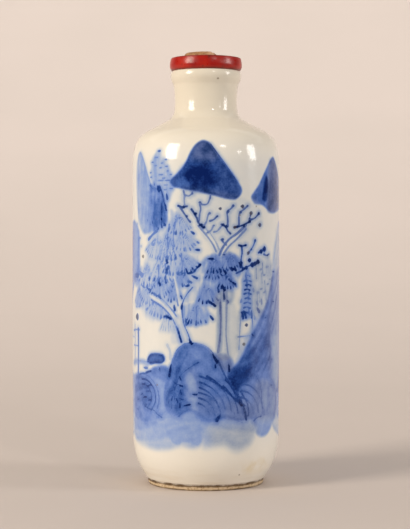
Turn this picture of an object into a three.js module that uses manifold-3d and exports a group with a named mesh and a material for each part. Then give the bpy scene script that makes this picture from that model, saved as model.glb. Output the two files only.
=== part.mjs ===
// A cylindrical porcelain snuff bottle, closed by a red ring stopper with a worn cork through it.
//
// Frame: millimetres, +Z up. The origin is the centre of the foot ring, on the plane the bottle
// stands on. The painted front looks along -Y, and +X is to the right of someone facing it.
//
// Three pieces: the porcelain bottle is one hollow thrown and turned vessel, the red ring lies on
// its lip, and the cork goes down through the ring into the neck. Nothing is hinged or screwed.
import * as THREE from "three";
import { mergeVertices } from "three/addons/utils/BufferGeometryUtils.js";
import Module from "manifold-3d";

// ---- driving dimensions ------------------------------------------------------------------------

const BODY_RADIUS = 13.23; // widest, a little above half height
const BODY_ENDS_RADIUS = 13.12; // the side swells by a tenth of a millimetre between its ends
const WALL = 2.2; // porcelain thickness round the side
const FLOOR_TOP = 4.2; // inside bottom of the bottle

const FOOT_INNER_RADIUS = 8.6;
const FOOT_OUTER_RADIUS = 10.3;
const FOOT_ROUND = 0.25; // worn edges of the bare foot ring
const FOOT_RECESS = 1.35; // underside of the floor, inside the foot ring
const GLAZE_EDGE_RADIUS = 10.76; // where the glaze stops, above the bare foot
const GLAZE_EDGE_Z = 1.27;
const GLAZE_LIP = 0.2; // how far the rolled edge of the glaze stands out from the foot

const BODY_BOTTOM_Z = 9.5; // the side is upright from here
const BODY_TOP_Z = 57.6; // to here, where the shoulder begins
const SHOULDER_TURN = new THREE.Vector2(9.9, 63.42); // end of the round, start of the slope
const NECK_ROOT = new THREE.Vector2(6.75, 65.12); // where the slope meets the neck's fillet
const NECK_RADIUS = 5.56;
const NECK_WAIST_Z = 68.6;
const LIP_RADIUS = 6.44;
const LIP_WIDEST_Z = 72.95;
const LIP_TOP_RADIUS = 6.15;
const LIP_TOP_Z = 73.8;
const BORE_RADIUS = 3.2;

const RING_RADIUS = 6.46;
const RING_THICKNESS = 2.4;
const RING_TOP_RADIUS = 6.3;
const RING_LOWER_ROUND = 0.76; // its lower corner is worn round
const RING_HOLE_RADIUS = 2.75;

const CORK_RADIUS = 3.0; // in the neck, just under the ring
const CORK_TIP_RADIUS = 2.7;
const CORK_TIP_Z = 66.6;
const CORK_RING_RADIUS = 2.65; // where it passes through the ring
const CORK_HEAD_RADIUS = 4.0;
const CORK_HEAD_HEIGHT = 0.9;
const CORK_HEAD_ROUND = 0.5; // its rubbed top edge
const CORK_BREAK_X = 2.1; // the head is lost to the right of this
const CORK_BREAK_DEPTH = 1.05;
const CORK_STEP_X = 0.3; // and worn lower to the right of this
const CORK_STEP_DEPTH = 0.22;

const BODY_SIDES = 64;
const RING_SIDES = 48;
const CORK_SIDES = 32;

// ---- helpers -----------------------------------------------------------------------------------

const at = (radius, z) => new THREE.Vector2(radius, z);

// Joins straight and curved stretches of an outline, each given as a list of points, and drops
// the points that repeat where two stretches meet.
function outline(...stretches) {
  const points = [];
  for (const p of stretches.flat()) {
    const last = points[points.length - 1];
    if (!last || last.distanceTo(p) > 1e-4) points.push(p);
  }
  return points;
}

const bend = (from, control, to, steps) =>
  new THREE.QuadraticBezierCurve(from, control, to).getPoints(steps);

const sweep = (from, leave, arrive, to, steps) =>
  new THREE.CubicBezierCurve(from, leave, arrive, to).getPoints(steps);

// A solid of revolution about +Z. three.js turns a profile about +Y, so the lathe is stood up. The
// profile runs counter-clockwise seen with the radius to the right, so that its faces point out.
function turned(profile, sides) {
  const geometry = new THREE.LatheGeometry(profile, sides);
  geometry.rotateX(Math.PI / 2);
  return geometry;
}

function mesh(name, geometry, material) {
  const made = new THREE.Mesh(geometry, material);
  made.name = name;
  return made;
}

// ---- booleans ----------------------------------------------------------------------------------

const wasm = await Module();
wasm.setup();

function solid(geometry) {
  const bare = geometry.clone();
  bare.deleteAttribute("normal");
  bare.deleteAttribute("uv");
  const merged = mergeVertices(bare, 1e-4);
  return new wasm.Manifold(
    new wasm.Mesh({
      numProp: 3,
      vertProperties: merged.attributes.position.array,
      triVerts: new Uint32Array(merged.index.array),
    }),
  );
}

function geometryOf(manifold) {
  const result = manifold.getMesh();
  const geometry = new THREE.BufferGeometry();
  geometry.setAttribute("position", new THREE.BufferAttribute(result.vertProperties, 3));
  geometry.setIndex(new THREE.BufferAttribute(result.triVerts, 1));
  geometry.computeVertexNormals();
  return geometry;
}

// ---- bottle ------------------------------------------------------------------------------------

// From the centre of the recessed underside, over the foot ring and up the outside to the lip.
function bottleOutside() {
  const recess = outline(
    [at(0, FOOT_RECESS + 0.15)],
    bend(at(7.2, FOOT_RECESS), at(8.3, FOOT_RECESS), at(FOOT_INNER_RADIUS, 0.6), 3),
  );
  const foot = outline(
    bend(
      at(FOOT_INNER_RADIUS, FOOT_ROUND),
      at(FOOT_INNER_RADIUS, 0),
      at(FOOT_INNER_RADIUS + FOOT_ROUND, 0),
      2,
    ),
    bend(
      at(FOOT_OUTER_RADIUS - FOOT_ROUND, 0),
      at(FOOT_OUTER_RADIUS, 0),
      at(FOOT_OUTER_RADIUS + 0.03, FOOT_ROUND),
      2,
    ),
    [at(GLAZE_EDGE_RADIUS - GLAZE_LIP, GLAZE_EDGE_Z - 0.12)],
  );
  const lowerBody = sweep(
    at(GLAZE_EDGE_RADIUS, GLAZE_EDGE_Z),
    at(11.5, 2.6),
    at(13.1, 4.1),
    at(BODY_ENDS_RADIUS, BODY_BOTTOM_Z),
    7,
  );
  const side = sweep(
    at(BODY_ENDS_RADIUS, BODY_BOTTOM_Z),
    at(BODY_RADIUS + 0.04, BODY_BOTTOM_Z + 17),
    at(BODY_RADIUS + 0.04, BODY_TOP_Z - 17),
    at(BODY_ENDS_RADIUS, BODY_TOP_Z),
    3,
  );
  const shoulder = sweep(
    at(BODY_ENDS_RADIUS, BODY_TOP_Z),
    at(12.95, 61.3),
    at(12.1, 62.35),
    SHOULDER_TURN,
    7,
  );
  const neck = outline(
    bend(NECK_ROOT, at(5.72, 65.75), at(NECK_RADIUS + 0.07, 67.1), 3),
    bend(at(NECK_RADIUS, NECK_WAIST_Z - 0.6), at(NECK_RADIUS, NECK_WAIST_Z + 1.6), at(5.83, 71.4), 3),
  );
  const lip = sweep(
    at(5.83, 71.4),
    at(6.1, 72.1),
    at(LIP_RADIUS + 0.16, LIP_WIDEST_Z - 0.2),
    at(LIP_TOP_RADIUS, LIP_TOP_Z),
    6,
  );
  return outline(recess, foot, lowerBody, side, shoulder, neck, lip);
}

// From the lip's inner edge down the bore and round the inside to the centre of the floor.
function bottleInside() {
  const inner = BODY_ENDS_RADIUS - WALL;
  const bore = outline(
    bend(at(BORE_RADIUS + 0.3, LIP_TOP_Z), at(BORE_RADIUS, LIP_TOP_Z), at(BORE_RADIUS, LIP_TOP_Z - 0.3), 2),
    bend(at(BORE_RADIUS, 64.2), at(BORE_RADIUS, 63.0), at(4.4, 62.7), 3),
  );
  const innerShoulder = sweep(at(8.3, 61.55), at(10.1, 60.7), at(inner, 59.6), at(inner, 56.6), 5);
  const innerFloor = bend(at(inner, FLOOR_TOP + 2.2), at(inner, FLOOR_TOP), at(inner - 2.2, FLOOR_TOP), 3);
  return outline(bore, innerShoulder, innerFloor, [at(0, FLOOR_TOP)]);
}

function bottle() {
  const porcelain = new THREE.MeshStandardMaterial({ color: 0xe9e2d4, roughness: 0.15, metalness: 0 });
  return mesh("bottle", turned(outline(bottleOutside(), bottleInside()), BODY_SIDES), porcelain);
}

// ---- ring stopper ------------------------------------------------------------------------------

const RING_BOTTOM_Z = LIP_TOP_Z;
const RING_TOP_Z = RING_BOTTOM_Z + RING_THICKNESS;

function ring() {
  const middle = RING_BOTTOM_Z + RING_THICKNESS * 0.45;
  const profile = outline(
    [at(RING_HOLE_RADIUS, RING_BOTTOM_Z)],
    bend(
      at(RING_RADIUS - RING_LOWER_ROUND, RING_BOTTOM_Z),
      at(RING_RADIUS - 0.26, RING_BOTTOM_Z),
      at(RING_RADIUS, RING_BOTTOM_Z + RING_LOWER_ROUND),
      4,
    ),
    bend(
      at(RING_RADIUS, middle),
      at(RING_RADIUS, RING_TOP_Z - 0.8),
      at(RING_TOP_RADIUS, RING_TOP_Z - 0.22),
      3,
    ),
    bend(
      at(RING_TOP_RADIUS, RING_TOP_Z - 0.22),
      at(RING_TOP_RADIUS - 0.03, RING_TOP_Z),
      at(RING_TOP_RADIUS - 0.3, RING_TOP_Z),
      3,
    ),
    [at(RING_HOLE_RADIUS, RING_TOP_Z)],
    [at(RING_HOLE_RADIUS, RING_BOTTOM_Z)],
  );
  profile.push(profile[0].clone());
  const red = new THREE.MeshStandardMaterial({ color: 0xa81e16, roughness: 0.25, metalness: 0 });
  return mesh("stopper_ring", turned(profile, RING_SIDES), red);
}

// ---- cork --------------------------------------------------------------------------------------

// The cork's head was pressed out over the ring, and part of it has since broken away.
function cork() {
  const headBottom = RING_TOP_Z;
  const headTop = headBottom + CORK_HEAD_HEIGHT;
  const profile = outline(
    [at(0, CORK_TIP_Z)],
    bend(
      at(CORK_TIP_RADIUS - 0.3, CORK_TIP_Z),
      at(CORK_TIP_RADIUS, CORK_TIP_Z),
      at(CORK_TIP_RADIUS, CORK_TIP_Z + 0.3),
      2,
    ),
    [at(CORK_RADIUS, LIP_TOP_Z - 0.6)],
    [at(CORK_RING_RADIUS, LIP_TOP_Z - 0.15)],
    [at(CORK_RING_RADIUS, headBottom)],
    bend(
      at(CORK_HEAD_RADIUS - 0.05, headBottom),
      at(CORK_HEAD_RADIUS, headTop - 0.15),
      at(CORK_HEAD_RADIUS - CORK_HEAD_ROUND, headTop),
      4,
    ),
    [at(0, headTop + 0.02)],
  );
  const whole = solid(turned(profile, CORK_SIDES));

  const reach = 2 * CORK_HEAD_RADIUS;
  const lost = new THREE.BoxGeometry(reach, 2 * reach, 2 * CORK_HEAD_HEIGHT);
  lost.rotateZ(THREE.MathUtils.degToRad(-9));
  lost.translate(CORK_BREAK_X + reach / 2, 0, headTop - CORK_BREAK_DEPTH + CORK_HEAD_HEIGHT);
  const worn = new THREE.BoxGeometry(reach, 2 * reach, CORK_HEAD_HEIGHT);
  worn.rotateZ(THREE.MathUtils.degToRad(14));
  worn.translate(CORK_STEP_X + reach / 2, 0, headTop - CORK_STEP_DEPTH + CORK_HEAD_HEIGHT / 2);

  const bark = new THREE.MeshStandardMaterial({ color: 0xb98a5a, roughness: 0.85, metalness: 0 });
  return mesh("stopper_cork", geometryOf(whole.subtract(solid(lost)).subtract(solid(worn))), bark);
}

// ---- the whole object --------------------------------------------------------------------------

const snuffBottle = new THREE.Group();
snuffBottle.add(bottle(), ring(), cork());

export default snuffBottle;
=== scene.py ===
import math

import bpy
import numpy as np
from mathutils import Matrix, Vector, noise


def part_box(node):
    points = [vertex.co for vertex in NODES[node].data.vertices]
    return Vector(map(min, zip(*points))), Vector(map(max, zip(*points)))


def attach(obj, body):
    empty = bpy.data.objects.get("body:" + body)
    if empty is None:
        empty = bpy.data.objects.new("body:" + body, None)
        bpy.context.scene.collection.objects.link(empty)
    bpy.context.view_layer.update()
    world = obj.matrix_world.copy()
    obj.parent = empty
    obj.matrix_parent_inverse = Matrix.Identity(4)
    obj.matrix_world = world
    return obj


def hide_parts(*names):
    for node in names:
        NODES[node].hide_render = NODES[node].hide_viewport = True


# A cylindrical porcelain snuff bottle painted in underglaze blue, under plain soft studio light.
# Sizes are in mm, or in tenths of a mm where a motif is painted. They become metres only where a
# mesh, a lamp or the camera is made.

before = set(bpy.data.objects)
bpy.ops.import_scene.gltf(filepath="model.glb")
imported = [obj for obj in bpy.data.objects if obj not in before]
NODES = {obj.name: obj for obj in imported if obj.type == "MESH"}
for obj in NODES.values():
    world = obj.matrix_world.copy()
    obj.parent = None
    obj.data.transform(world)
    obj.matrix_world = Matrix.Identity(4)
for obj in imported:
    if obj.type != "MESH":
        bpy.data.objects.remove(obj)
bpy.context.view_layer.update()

MM = 0.001


# ---- camera ------------------------------------------------------------------------------------

CAMERA_DISTANCE = 279.0
CAMERA_HEIGHT = 45.6
CAMERA_ASIDE = -0.16
CAMERA_PITCH = 1.31  # degrees down from level
CAMERA_LENS = 105.5  # focal length


def make_camera():
    camera = bpy.data.objects.new("camera", bpy.data.cameras.new("camera"))
    bpy.context.scene.collection.objects.link(camera)
    camera.data.lens = CAMERA_LENS
    camera.data.clip_start = 0.01
    camera.location = Vector((CAMERA_ASIDE, -CAMERA_DISTANCE, CAMERA_HEIGHT)) * MM
    camera.rotation_euler = (math.radians(90 - CAMERA_PITCH), 0, 0)
    bpy.context.scene.camera = camera


# ---- studio ------------------------------------------------------------------------------------

SWEEP_HALF = 1600.0  # half its width
SWEEP_FRONT = -80.0
SWEEP_BACK = 140.0  # where the floor starts to curve up
SWEEP_RADIUS = 900.0  # of the curve from floor to wall
SWEEP_TOP = 1500.0
PAPER = ((0.3, (0.565, 0.49, 0.44)), (0.7, (0.585, 0.505, 0.455)))  # how its tone drifts
AIM_HEIGHT = 40.0  # the height on the bottle at which the lamps aim
BACKDROP_TILT = 59  # degrees from level, of the lamp that lights the wall
BOUNCE_TILT = 8
ROOM_COLOUR = (0.80, 0.79, 0.78, 1)
ROOM_STRENGTH = 0.53


def softbox(name, azimuth, elevation, distance, size, watts, colour):
    """A lamp aimed at the bottle. azimuth is degrees to the right of the camera's side, elevation
    degrees above level, and size its width and height."""
    a, e = math.radians(azimuth), math.radians(elevation)
    lamp = bpy.data.lights.new(name, "AREA")
    lamp.shape = "RECTANGLE"
    lamp.size, lamp.size_y = size[0] * MM, size[1] * MM
    lamp.energy = watts
    lamp.color = colour
    holder = bpy.data.objects.new(name, lamp)
    bpy.context.scene.collection.objects.link(holder)
    way = Vector((math.sin(a) * math.cos(e), -math.cos(a) * math.cos(e), math.sin(e)))
    holder.location = (way * distance + Vector((0, 0, AIM_HEIGHT))) * MM
    holder.rotation_euler = way.to_track_quat("Z", "Y").to_euler()
    return holder


def make_lights():
    softbox("key", -56, 20, 620, (200, 250), 3.3, (1.0, 0.92, 0.80))
    softbox("rim", 77, 16, 620, (150, 220), 1.45, (1.0, 0.97, 0.94))
    softbox("spark", 28, 28, 620, (22, 22), 0.3, (1.0, 0.96, 0.9))
    softbox("glint", 54, 16, 620, (18, 18), 0.14, (1.0, 0.96, 0.9))
    softbox("overhead", -70, 68, 900, (700, 700), 0.3, (1.0, 0.90, 0.78))
    backdrop = softbox("backdrop", 180, 60, 700, (1200, 300), 4.15, (1.0, 0.96, 0.92))
    backdrop.rotation_euler = (math.radians(BACKDROP_TILT), 0, 0)
    bounce = softbox("bounce", 180, 60, 420, (1400, 160), 0.5, (1.0, 0.95, 0.9))
    bounce.rotation_euler = (math.radians(BOUNCE_TILT), 0, 0)
    world = bpy.data.worlds.new("world")
    world.use_nodes = True
    room = world.node_tree.nodes["Background"].inputs
    room["Color"].default_value = ROOM_COLOUR
    room["Strength"].default_value = ROOM_STRENGTH
    world.cycles_visibility.glossy = False  # the room's dimness, in what the glaze mirrors
    bpy.context.scene.world = world
    bpy.context.scene.view_settings.view_transform = "Standard"


def make_stage():
    """A paper sweep: floor, curve and wall in one."""
    curve = np.linspace(0, math.pi / 2, 24)
    side = [(SWEEP_FRONT, 0.0)]
    side += [(SWEEP_BACK + SWEEP_RADIUS * math.sin(t), SWEEP_RADIUS * (1 - math.cos(t))) for t in curve]
    side += [(SWEEP_BACK + SWEEP_RADIUS, SWEEP_TOP)]
    points = [(x * MM, y * MM, z * MM) for y, z in side for x in (-SWEEP_HALF, SWEEP_HALF)]
    faces = [(i, i + 1, i + 3, i + 2) for i in range(0, len(points) - 2, 2)]
    mesh = bpy.data.meshes.new("sweep")
    mesh.from_pydata(points, [], faces)
    mesh.shade_smooth()
    sweep = bpy.data.objects.new("sweep", mesh)
    bpy.context.scene.collection.objects.link(sweep)
    paper = Shader("paper")
    paper.finish(paper.ramp(paper.noise(0.012, detail=2), PAPER), roughness=0.9)
    mesh.materials.append(paper.material)


# ---- shader nodes ------------------------------------------------------------------------------


class Shader:
    """A material's nodes. Patterns read the object's own coordinates, in mm."""

    def __init__(self, name):
        self.material = bpy.data.materials.new(name)
        self.material.use_nodes = True
        self.tree = self.material.node_tree
        self.surface = self.tree.nodes["Principled BSDF"]
        place = self.add("ShaderNodeTexCoord").outputs["Object"]
        scale = self.add("ShaderNodeVectorMath", operation="SCALE")
        scale.inputs["Scale"].default_value = 1 / MM
        self.link(place, scale.inputs[0])
        self.place = scale.outputs[0]

    def add(self, kind, **settings):
        node = self.tree.nodes.new(kind)
        for name, value in settings.items():
            setattr(node, name, value)
        return node

    def link(self, source, socket):
        """Feeds a socket from another node's output, or sets it."""
        if isinstance(source, bpy.types.NodeSocket):
            self.tree.links.new(source, socket)
        else:
            socket.default_value = source

    def math(self, operation, *values, clamp=False):
        node = self.add("ShaderNodeMath", operation=operation, use_clamp=clamp)
        for value, socket in zip(values, node.inputs):
            self.link(value, socket)
        return node.outputs[0]

    def noise(self, scale, detail=3.0, roughness=0.5, vector=None):
        """Clouds about 1 / scale mm across, near 0.5 on the whole."""
        node = self.add("ShaderNodeTexNoise")
        self.link(self.place if vector is None else vector, node.inputs["Vector"])
        node.inputs["Scale"].default_value = scale
        node.inputs["Detail"].default_value = detail
        node.inputs["Roughness"].default_value = roughness
        return node.outputs["Fac"]

    def stretched(self, x, y, z):
        """Places whose patterns are drawn out along an axis where its factor is small."""
        node = self.add("ShaderNodeVectorMath", operation="MULTIPLY")
        self.link(self.place, node.inputs[0])
        node.inputs[1].default_value = (x, y, z)
        return node.outputs[0]

    def along(self, axis):
        node = self.add("ShaderNodeSeparateXYZ")
        self.link(self.place, node.inputs[0])
        return node.outputs[axis]

    def height(self):
        return self.along("Z")

    def spots(self, scale, size, share):
        """Small round spots on a few cells of a loose grid, 0 to 1."""
        cells = self.add("ShaderNodeTexVoronoi")
        self.link(self.place, cells.inputs["Vector"])
        cells.inputs["Scale"].default_value = scale
        near = self.between(cells.outputs["Distance"], size, 0.4 * size)
        lucky = self.add("ShaderNodeSeparateColor")
        self.link(cells.outputs["Color"], lucky.inputs[0])
        chosen = self.math("LESS_THAN", lucky.outputs[0], share)
        return self.math("MULTIPLY", near, chosen)

    def patch(self, middle, size, edge=0.5):
        """1 round a place, 0 beyond size mm from it along each axis. edge is the share that is soft."""
        offset = self.add("ShaderNodeVectorMath", operation="SUBTRACT")
        self.link(self.place, offset.inputs[0])
        offset.inputs[1].default_value = middle
        scaled = self.add("ShaderNodeVectorMath", operation="DIVIDE")
        self.link(offset.outputs[0], scaled.inputs[0])
        scaled.inputs[1].default_value = size
        far = self.add("ShaderNodeVectorMath", operation="LENGTH")
        self.link(scaled.outputs[0], far.inputs[0])
        return self.between(far.outputs["Value"], 1.0, 1.0 - edge)

    def between(self, value, low, high):
        """0 at low, 1 at high, smooth and held outside. low may be the larger."""
        node = self.add("ShaderNodeMapRange", interpolation_type="SMOOTHSTEP")
        flip = low > high
        self.link(value, node.inputs["Value"])
        self.link(min(low, high), node.inputs["From Min"])
        self.link(max(low, high), node.inputs["From Max"])
        self.link(1.0 if flip else 0.0, node.inputs["To Min"])
        self.link(0.0 if flip else 1.0, node.inputs["To Max"])
        return node.outputs["Result"]

    def sway(self, noise, middle, amount):
        """A value that wanders by amount either side of middle."""
        return self.math("MULTIPLY_ADD", noise, 2 * amount, middle - amount)

    def attribute(self, name):
        return self.add("ShaderNodeAttribute", attribute_name=name).outputs["Fac"]

    def ramp(self, value, stops):
        """The colour that stops, as (value, colour), give a value."""
        node = self.add("ShaderNodeValToRGB")
        self.link(value, node.inputs[0])
        elements = node.color_ramp.elements
        while len(elements) < len(stops):
            elements.new(1.0)
        for element, (position, colour) in zip(elements, stops):
            element.position = position
            element.color = (*colour, 1)
        return node.outputs["Color"]

    def mix(self, share, first, second, blend="MIX"):
        node = self.add("ShaderNodeMix", data_type="RGBA", blend_type=blend)
        self.link(share, node.inputs["Factor"])
        colours = [socket for socket in node.inputs if socket.type == "RGBA"]
        for colour, socket in zip((first, second), colours):
            self.link(colour if isinstance(colour, bpy.types.NodeSocket) else (*colour, 1), socket)
        return next(socket for socket in node.outputs if socket.type == "RGBA")

    def scaled(self, value, factor):
        return self.math("MULTIPLY", value, factor)

    def relief(self, height, depth, below=None):
        """Bump by a height from 0 to 1, depth mm deep, on top of another relief."""
        node = self.add("ShaderNodeBump")
        self.link(height, node.inputs["Height"])
        node.inputs["Distance"].default_value = depth * MM
        if below is not None:
            self.link(below, node.inputs["Normal"])
        return node.outputs["Normal"]

    def finish(self, colour, roughness, normal=None, **fixed):
        self.link(colour, self.surface.inputs["Base Color"])
        self.link(roughness, self.surface.inputs["Roughness"])
        if normal is not None:
            self.link(normal, self.surface.inputs["Normal"])
        for name, value in fixed.items():
            self.surface.inputs[name.replace("_", " ")].default_value = value


# ---- the brush ---------------------------------------------------------------------------------
#
# The painting is laid out flat. Across runs round the side from the middle of the front, positive
# to the right of someone facing it, and up is the height above the table. The motifs give both in
# tenths of a mm, and the widths of strokes and the softness of edges too. Ink is in percent, and
# directions are in degrees. A path is written as across, up, across, up. The grid is in mm.

PER_MM = 10  # the motifs' units of length in a mm
PAINT_RADIUS = 13.2
TURN = 2 * math.pi * PAINT_RADIUS  # once round the bottle
EDGE = 0.35  # how far either side of a stroke's edge its field is kept
SPREAD = 1.4  # how much wider a stroke fired than the brush laid it
HALO = 0.4  # how far its cobalt ran into the glaze
GRAIN = np.random.default_rng(11).uniform(-1, 1, 997)  # unevenness across the hairs of the brush


def ramp(low, high, x):
    t = np.clip((x - low) / (high - low), 0, 1)
    return t * t * (3 - 2 * t)


def flowing(path, closed=False, steps=7):
    """Points in mm along a smooth curve through those of a path."""
    p = np.array(path, float).reshape(-1, 2) / PER_MM
    if len(p) == 2:
        return np.linspace(p[0], p[1], steps)
    ends = (p[-1:], p[:2]) if closed else (2 * p[:1] - p[1:2], 2 * p[-1:] - p[-2:-1])
    q = np.concatenate([ends[0], p, ends[1]])
    t = np.linspace(0, 1, steps, endpoint=False)[:, None]
    curve = [
        b + 0.5 * t * (c - a + t * (2 * a - 5 * b + 4 * c - d + t * (3 * (b - c) + d - a)))
        for a, b, c, d in zip(q, q[1:], q[2:], q[3:])
    ]
    return np.concatenate(curve if closed else curve + [p[-1:]])


def nearest(path, x, y):
    """Distance from each place to the path, and how far along it the nearest point lies, 0 to 1."""
    a, b = path[:-1, :, None, None], path[1:, :, None, None]
    ab = b - a
    t = ((x - a[:, 0]) * ab[:, 0] + (y - a[:, 1]) * ab[:, 1]) / np.maximum((ab**2).sum(1), 1e-9)
    t = np.clip(t, 0, 1)
    far = np.hypot(x - a[:, 0] - t * ab[:, 0], y - a[:, 1] - t * ab[:, 1])
    first = far.argmin(0)
    along = np.take_along_axis(t, first[None], 0)[0] + first
    return far.min(0), along / (len(path) - 1)


def depth_inside(path, x, y):
    """Distance in from the edge of a closed outline, negative outside it."""
    loop = np.concatenate([path, path[:1]])
    far, _ = nearest(loop, x, y)
    inside = np.zeros(x.shape, bool)
    for (x0, y0), (x1, y1) in zip(loop, loop[1:]):
        if y0 != y1:
            inside ^= ((y0 > y) != (y1 > y)) & (x < x0 + (y - y0) * (x1 - x0) / (y1 - y0))
    return np.where(inside, far, -far)


def hairs(x, y, degrees, width):
    """Streaks left by the brush's hairs, -1 to 1, running in a direction."""
    c, s = math.cos(math.radians(degrees)), math.sin(math.radians(degrees))
    side, along = c * y - s * x, c * x + s * y
    lane = (side + 0.12 * np.sin(along * 0.9 + side)) / width
    table = np.arange(len(GRAIN))
    fine = np.interp(lane % (len(GRAIN) - 1), table, GRAIN)
    slow = np.interp((along * 0.35 + 41 * np.round(side / (3 * width))) % (len(GRAIN) - 1), table, GRAIN)
    return 0.7 * fine + 0.3 * slow


def dab_width(t):
    """A pressed dab: narrower where the brush lands, then full to its rounded end."""
    return 0.55 + 0.45 * np.clip(2.2 * t, 0, 1)


def line_width(t):
    """A pulled line: a little heavier at both ends than along its middle."""
    return 0.88 + 0.12 * np.cos(2 * math.pi * t) - 0.1 * t


class Painting:
    """Cobalt on a grid of places. wash is the broad tone, 0 to 1. line says how deep inside a stroke
    a place is, with the stroke's edge at 0.5, and line_ink how dark that stroke is. rust is iron, and
    ash is how grey the cobalt fired."""

    def __init__(self, across, up):
        self.across, self.up = across, up
        self.wash, self.line, self.line_ink = np.zeros((3, len(up), len(across)))
        self.rust, self.ash, self.halo = np.zeros((3, len(up), len(across)))

    def patches(self, path, margin):
        """The parts of the grid near a path. A path that crosses the seam finds both sides of it."""
        low, high = path.min(0) - margin, path.max(0) + margin
        rows = slice(*np.searchsorted(self.up, (low[1], high[1])))
        for turn in (-TURN, 0, TURN):
            columns = slice(*np.searchsorted(self.across, (low[0] + turn, high[0] + turn)))
            if rows.start < rows.stop and columns.start < columns.stop:
                x, y = np.meshgrid(self.across[columns] - turn, self.up[rows])
                yield (rows, columns), x, y

    def stroke(self, path, width, ink, shape=line_width, fade=0.0):
        """One pull of the brush. fade is the share of the ink that has gone by its end."""
        path = flowing(path)
        reach = SPREAD * width / 2 / PER_MM
        for patch, x, y in self.patches(path, reach + 3 * EDGE):
            far, t = nearest(path, x, y)
            deep = reach * shape(t) - far
            field = np.clip(0.5 + deep / (2 * EDGE), 0, 1)
            tone = ink / 100 * (1 - fade * t)
            run = tone * np.exp(-((np.minimum(deep, 0) / HALO) ** 2))
            self.halo[patch] = np.maximum(self.halo[patch], run)
            old, old_ink = self.line[patch], self.line_ink[patch]
            both = (field > 0.5) & (old > 0.5)
            tones = np.where(both, np.maximum(tone, old_ink), np.where(field > old, tone, old_ink))
            self.line_ink[patch] = tones
            self.line[patch] = np.maximum(field, old)

    def dab(self, across, up, degrees, length, width, ink):
        """A short pressed stroke that ends at a place."""
        c, s = math.cos(math.radians(degrees)), math.sin(math.radians(degrees))
        self.stroke([across - length * c, up - length * s, across, up], width, ink, dab_width)

    def dabs(self, width, rows):
        """Dabs of one width, each (across, up, direction, length, ink)."""
        for *place, ink in rows:
            self.dab(*place, width, ink)

    def fill(self, outline, ink, soft=1.8, pool=0, hair=None, over=True):
        """A wash inside an outline. pool is extra ink that dried along its edge, and hair is
        (direction, width, amount) of its streaks. over covers what was there, else the darker wins."""
        path = flowing(outline, closed=True)
        soft /= PER_MM
        for patch, x, y in self.patches(path, 2 * soft):
            deep = depth_inside(path, x, y)
            cover = ramp(-soft, soft, deep)
            tone = (ink + pool * np.exp(-(((deep - soft) / EDGE) ** 2))) / 100
            if hair:
                tone = tone * (1 + hair[2] / 100 * hairs(x, y, hair[0], hair[1] / PER_MM))
            old = self.wash[patch]
            self.wash[patch] = old + cover * (tone - old) if over else np.maximum(old, tone * cover)

    def tint(self, outline, ink, soft=1.8, pool=0, hair=None):
        """A wash that leaves what is darker than it."""
        self.fill(outline, ink, soft, pool, hair, over=False)

    def spare(self, outline, soft=1.5):
        """Leaves the white of the glaze inside an outline, over all that was painted there."""
        path = flowing(outline, closed=True)
        soft /= PER_MM
        for patch, x, y in self.patches(path, 2 * soft):
            cover = ramp(-soft, soft, depth_inside(path, x, y))
            self.wash[patch] *= 1 - cover
            self.line[patch] *= 1 - cover

    def ashen(self, outline, amount, soft=5):
        """Greys the cobalt inside an outline, by an amount in percent."""
        path = flowing(outline, closed=True)
        soft /= PER_MM
        for patch, x, y in self.patches(path, 2 * soft):
            cover = amount / 100 * ramp(-soft, soft, depth_inside(path, x, y))
            self.ash[patch] = np.maximum(self.ash[patch], cover)

    def bleed(self, share=0.25):
        """Lets the strokes' cobalt run a little into the glaze round them."""
        self.wash += share * self.halo * (1 - self.wash)

    def speck(self, across, up, size, ink):
        """A spot of iron that burned through the glaze."""
        self.stroke([across - size / 4, up, across + size / 4, up], size, ink, dab_width)
        place, radius = np.array([(across, up)]) / PER_MM, size / 2 / PER_MM
        for patch, x, y in self.patches(place, 2 * radius + EDGE):
            spot = 1 - ramp(radius, radius + EDGE, np.hypot(x - place[0, 0], y - place[0, 1]))
            self.rust[patch] = np.maximum(self.rust[patch], spot)


# ---- motifs ------------------------------------------------------------------------------------


def needles(p, x, y, aim, reach, spread, ink, drop_ink, seed):
    """A spray of pine: a pale bell below its tip, and lines down it that end in pressed drops."""
    draw = np.random.default_rng(seed)

    def at(degrees, distance):
        angle = math.radians(aim + degrees)
        return x + distance * math.cos(angle), y + distance * math.sin(angle)

    bell = [(1.25, 0.45), (1.3, 0.16), (-1.3, 0.16), (-1.25, 0.45)]
    crown = [at(turn * spread, share * reach) for turn, share in bell]
    crown.insert(2, at(180, 0.03 * reach))
    rim = [at(a, reach * (0.96 + 0.04 * (-1) ** i)) for i, a in enumerate(np.linspace(-spread, spread, 9))]
    p.fill(crown + rim, ink, 4, hair=(aim, 3, 30))
    count = max(4, round(2 * math.radians(spread) * reach / 5.6))
    for a in np.linspace(-0.93 * spread, 0.93 * spread, count):
        a += draw.uniform(-2.5, 2.5)
        start, stop = reach * draw.uniform(0.12, 0.4), reach * draw.uniform(0.92, 1.02)
        p.stroke([at(a * 0.85, start), at(a, stop)], 1.6, ink + draw.uniform(24, 40))
        length, width = draw.uniform(4.5, 8.5), draw.uniform(2.2, 3.2)
        if drop_ink:
            drop = min(98, drop_ink * draw.uniform(0.72, 1.12))
            p.dab(*at(a, stop + 1.5), aim + a, length, width, drop)


def twig(p, path, ink, buds):
    """A bare forked twig, drawn knobbly like coral, with buds where it forks and ends. Each bud is
    (across, up, size)."""
    p.stroke(path, 3.4, min(100, ink + 20))
    for across, up, size in buds:
        p.stroke([across - size / 6, up, across + size / 6, up], 0.82 * size, min(100, ink + 34), dab_width)


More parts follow.
